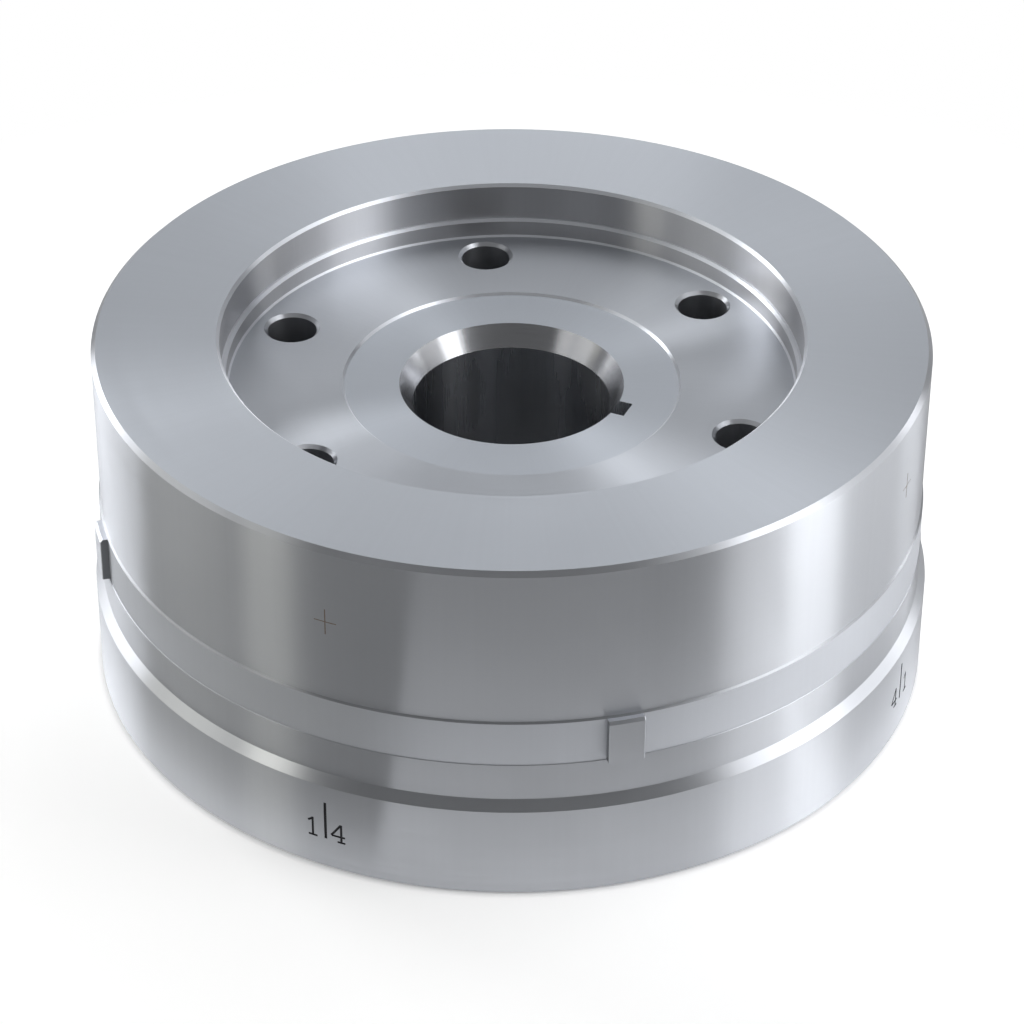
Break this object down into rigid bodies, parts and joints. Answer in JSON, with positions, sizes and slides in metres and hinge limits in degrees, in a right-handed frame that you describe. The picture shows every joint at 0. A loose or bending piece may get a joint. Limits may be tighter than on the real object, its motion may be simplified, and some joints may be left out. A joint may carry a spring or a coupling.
{
  "type": "flywheel rotor",
  "caption": "Steel cup-shaped engine flywheel rotor with a keyed crank bore, a bolted clutch recess, pickup lugs on a milled track and a ring of magnets inside its rim.",
  "frame": {"origin": "centre of the open rim, on the plane that the rotor rests on", "axes": "+Z along the crank axis, from the open rim towards the clutch side; -Y towards the side the picture shows; the keyway points 23.4 degrees from +X towards -Y"},
  "size_m": [0.1382, 0.1382, 0.0597],
  "materials": {
    "turned_steel": "fine turned and ground, satin",
    "sleeve_steel": "thin drawn stainless sheet",
    "magnet": "pressed and ground magnet, matt dark grey",
    "cage_plastic": "moulded black plastic"
  },
  "bodies": {
    "root": {"rotor_body": "turned_steel", "magnet_spacer": "cage_plastic", "magnet_sleeve": "sleeve_steel", "magnet_01": "magnet", "magnet_02": "magnet", "magnet_03": "magnet", "magnet_04": "magnet", "magnet_05": "magnet", "magnet_06": "magnet", "magnet_07": "magnet", "magnet_08": "magnet", "magnet_09": "magnet", "magnet_10": "magnet", "magnet_11": "magnet", "magnet_12": "magnet"}
  },
  "joints": []
}
